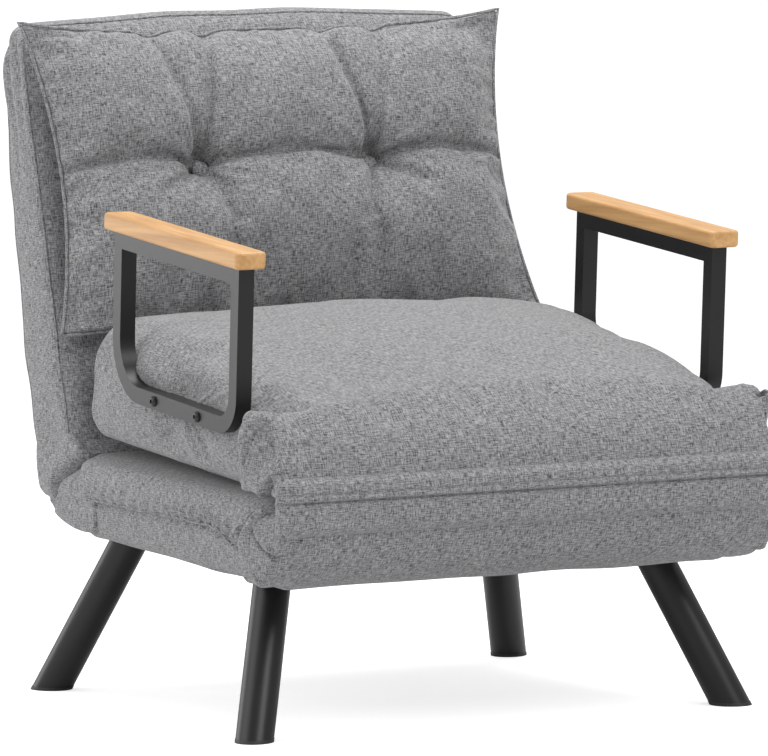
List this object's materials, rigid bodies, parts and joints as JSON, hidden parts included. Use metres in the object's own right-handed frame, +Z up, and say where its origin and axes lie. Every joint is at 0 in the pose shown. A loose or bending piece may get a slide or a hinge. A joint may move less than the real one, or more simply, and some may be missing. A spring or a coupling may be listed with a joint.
{
  "type": "convertible chair bed",
  "caption": "Upholstered chair with wood-topped steel loop arms whose seat flips forward and back reclines to make a single bed.",
  "frame": {"origin": "on the floor, under the middle of the chair with its legs, arms, back and seat", "axes": "+Z up, +Y to the rear, +X to the right seen from the front"},
  "size_m": [0.6878, 0.8253, 0.8262],
  "materials": {
    "cover_fabric": "woven linen-look upholstery, matte",
    "foam": "open-cell foam",
    "frame_steel": "black powder coat, satin",
    "leg_steel": "black powder coat, satin",
    "zinc_steel": "zinc plated",
    "black_bolt": "black oxide",
    "beech": "clear lacquered beech",
    "glide_plastic": "moulded plastic"
  },
  "bodies": {
    "base": {"base_cover": "cover_fabric", "base_foam": "foam", "base_frame": "frame_steel", "leg_plates": "zinc_steel", "leg_studs": "zinc_steel", "front_roll": "cover_fabric", "corner_gusset": "cover_fabric", "leg_front_left": "leg_steel", "leg_front_right": "leg_steel", "leg_rear_left": "leg_steel", "leg_rear_right": "leg_steel", "glide_front_left": "glide_plastic", "glide_front_right": "glide_plastic", "glide_rear_left": "glide_plastic", "glide_rear_right": "glide_plastic", "fold_leaf_base_left": "zinc_steel", "fold_leaf_base_right": "zinc_steel", "fold_pin_left": "zinc_steel", "fold_pin_right": "zinc_steel", "recline_plate_left": "zinc_steel", "recline_plate_right": "zinc_steel", "recline_pin_left": "zinc_steel", "recline_pin_right": "zinc_steel"},
    "seat": {"seat_cover": "cover_fabric", "seat_foam_lower": "foam", "seat_foam_upper": "foam", "seat_frame": "frame_steel", "arm_bolts": "black_bolt", "arm_spacers": "zinc_steel", "arm_nuts": "zinc_steel", "arm_wood_screws": "zinc_steel", "fold_leaf_seat_left": "zinc_steel", "fold_leaf_seat_right": "zinc_steel", "arm_loop_left": "frame_steel", "arm_loop_right": "frame_steel", "arm_bar_left": "beech", "arm_bar_right": "beech"},
    "back": {"back_cover": "cover_fabric", "back_foam": "foam", "back_frame": "frame_steel", "recline_arm_left": "zinc_steel", "recline_arm_right": "zinc_steel", "recline_pawl_left": "zinc_steel", "recline_pawl_right": "zinc_steel", "recline_pawl_rivet_left": "zinc_steel", "recline_pawl_rivet_right": "zinc_steel"},
    "pillow": {"pillow": "cover_fabric", "pillow_buttons": "cover_fabric"}
  },
  "joints": [
    {"name": "seat_unfold", "type": "hinge", "parent": "base", "child": "seat", "pos_m": [0, -0.406, 0.2815], "axis": [1, 0, 0], "range_deg": [0, 175.5], "deforming": ["front_roll"]},
    {"name": "back_recline", "type": "hinge", "parent": "base", "child": "back", "pos_m": [0, 0.2, 0.285], "axis": [-1, 0, 0], "range_deg": [0, 78], "deforming": ["corner_gusset"]},
    {"name": "pillow_lift", "type": "slide", "parent": "back", "child": "pillow", "axis": [0, 0.2079, 0.9781], "range_m": [0, 0.45]}
  ]
}
